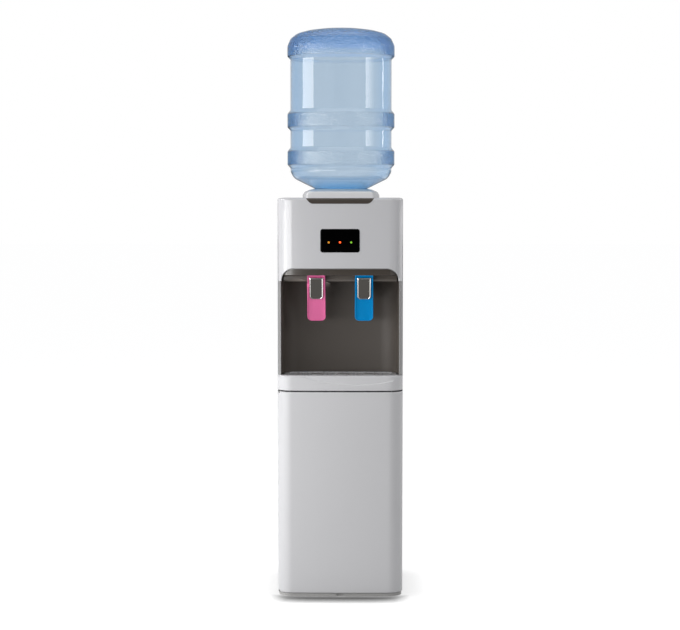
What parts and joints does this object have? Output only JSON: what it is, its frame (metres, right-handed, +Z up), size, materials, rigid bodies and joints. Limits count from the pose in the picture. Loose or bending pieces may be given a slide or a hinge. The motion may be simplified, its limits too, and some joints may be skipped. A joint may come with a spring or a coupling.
{
  "type": "bottled water dispenser",
  "caption": "Floor-standing water dispenser with an inverted bottle, push taps for hot and cold water, a drip tray and a storage bay behind a door.",
  "frame": {"origin": "middle of the footprint, on the floor under the feet", "axes": "+Z up, front faces -Y, +X to the right of a person facing the front"},
  "size_m": [0.31, 0.32, 1.418],
  "materials": {
    "white_plastic": "moulded gloss",
    "white_sheet": "powder coat",
    "pale_grey_plastic": "satin",
    "taupe_plastic": "satin",
    "black_gloss": "polished",
    "black_plastic": "satin",
    "rubber_feet": "moulded",
    "plinth_plastic": "satin",
    "chrome_trim": "polished",
    "steel": "brushed",
    "aluminium": "extruded",
    "pink_plastic": "moulded gloss",
    "blue_plastic": "moulded gloss",
    "circuit_board": "lacquered",
    "bottle_blue": "clear tinted",
    "silicone": "translucent",
    "lamp_amber": "lit",
    "lamp_red": "lit",
    "lamp_green": "lit"
  },
  "bodies": {
    "cabinet": {"base_plinth": "plinth_plastic", "foot_front_left": "rubber_feet", "foot_front_right": "rubber_feet", "foot_rear_left": "rubber_feet", "foot_rear_right": "rubber_feet", "side_panel_left": "white_sheet", "side_panel_right": "white_sheet", "back_panel": "white_sheet", "top_cover": "white_plastic", "fascia": "white_plastic", "handle_insert": "taupe_plastic", "display_lens": "black_gloss", "led_amber": "lamp_amber", "led_red": "lamp_red", "led_green": "lamp_green", "control_board": "circuit_board", "niche_bezel_left": "pale_grey_plastic", "niche_bezel_right": "pale_grey_plastic", "niche_wall": "taupe_plastic", "visor": "taupe_plastic", "lever_pin_hot": "steel", "lever_pin_cold": "steel", "tap_body_hot": "taupe_plastic", "tap_body_cold": "taupe_plastic", "tray_housing": "white_plastic", "storage_floor": "white_plastic", "storage_ceiling": "white_plastic", "storage_back": "white_plastic", "storage_wall_left": "white_plastic", "storage_wall_right": "white_plastic", "storage_shelf": "white_plastic", "magnet_catch": "black_plastic", "hinge_pin_bottom": "steel", "hinge_pin_top": "steel", "cold_tank": "steel", "feed_spike": "white_plastic", "hot_tank": "steel", "tube_cold": "silicone", "tube_hot": "silicone", "heat_sink": "aluminium", "fan_frame": "black_plastic", "power_inlet": "black_plastic", "bottle_collar": "white_plastic"},
    "door": {"door_outer": "white_plastic", "door_inner": "white_plastic", "striker_plate": "steel"},
    "bottle": {"bottle_shell": "bottle_blue", "bottle_cap": "blue_plastic"},
    "hot_lever": {"lever_hot": "pink_plastic", "lever_plate_hot": "chrome_trim"},
    "cold_lever": {"lever_cold": "blue_plastic", "lever_plate_cold": "chrome_trim"},
    "hot_stem": {"tap_stem_hot": "steel"},
    "cold_stem": {"tap_stem_cold": "steel"},
    "drip_cup": {"drip_cup": "pale_grey_plastic"},
    "drip_grille": {"drip_grille": "white_plastic"},
    "hot_switch": {"rocker_hot": "pink_plastic"},
    "cold_switch": {"rocker_cold": "blue_plastic"},
    "drain_cap": {"drain_cap": "taupe_plastic"},
    "fan": {"fan_rotor": "black_plastic"}
  },
  "joints": [
    {"name": "door_hinge", "type": "hinge", "parent": "cabinet", "child": "door", "pos_m": [-0.143, -0.133, 0.26], "axis": [0, 0, -1], "range_deg": [0, 105]},
    {"name": "bottle_lift", "type": "slide", "parent": "cabinet", "child": "bottle", "axis": [0, 0, 1], "range_m": [0, 0.12]},
    {"name": "lever_hot_push", "type": "hinge", "parent": "cabinet", "child": "hot_lever", "pos_m": [-0.059, -0.131, 0.806], "axis": [1, 0, 0], "range_deg": [0, 12], "stiffness_Nm_per_rad": 0.8, "springref_deg": -11.46},
    {"name": "lever_cold_push", "type": "hinge", "parent": "cabinet", "child": "cold_lever", "pos_m": [0.059, -0.131, 0.806], "axis": [1, 0, 0], "range_deg": [0, 12], "stiffness_Nm_per_rad": 0.8, "springref_deg": -11.46},
    {"name": "stem_hot_slide", "type": "slide", "parent": "cabinet", "child": "hot_stem", "axis": [0, 1, 0], "range_m": [0, 0.0086]},
    {"name": "stem_cold_slide", "type": "slide", "parent": "cabinet", "child": "cold_stem", "axis": [0, 1, 0], "range_m": [0, 0.0086]},
    {"name": "drip_cup_lift", "type": "slide", "parent": "cabinet", "child": "drip_cup", "axis": [0, 0, 1], "range_m": [0, 0.05]},
    {"name": "drip_grille_lift", "type": "slide", "parent": "drip_cup", "child": "drip_grille", "axis": [0, 0, 1], "range_m": [0, 0.03]},
    {"name": "hot_switch_rock", "type": "hinge", "parent": "cabinet", "child": "hot_switch", "pos_m": [-0.076, 0.152, 0.93], "axis": [1, 0, 0], "range_deg": [-8, 8]},
    {"name": "cold_switch_rock", "type": "hinge", "parent": "cabinet", "child": "cold_switch", "pos_m": [-0.048, 0.152, 0.93], "axis": [1, 0, 0], "range_deg": [-8, 8]},
    {"name": "drain_cap_draw", "type": "slide", "parent": "cabinet", "child": "drain_cap", "axis": [0, 1, 0], "range_m": [0, 0.02]},
    {"name": "fan_spin", "type": "hinge", "parent": "cabinet", "child": "fan", "pos_m": [0, 0.1325, 0.82], "axis": [0, 1, 0], "continuous": true}
  ],
  "couplings": [
    {"joint": "stem_hot_slide", "follows": "lever_hot_push", "m_per_rad": 0.0405},
    {"joint": "stem_cold_slide", "follows": "lever_cold_push", "m_per_rad": 0.0405}
  ]
}
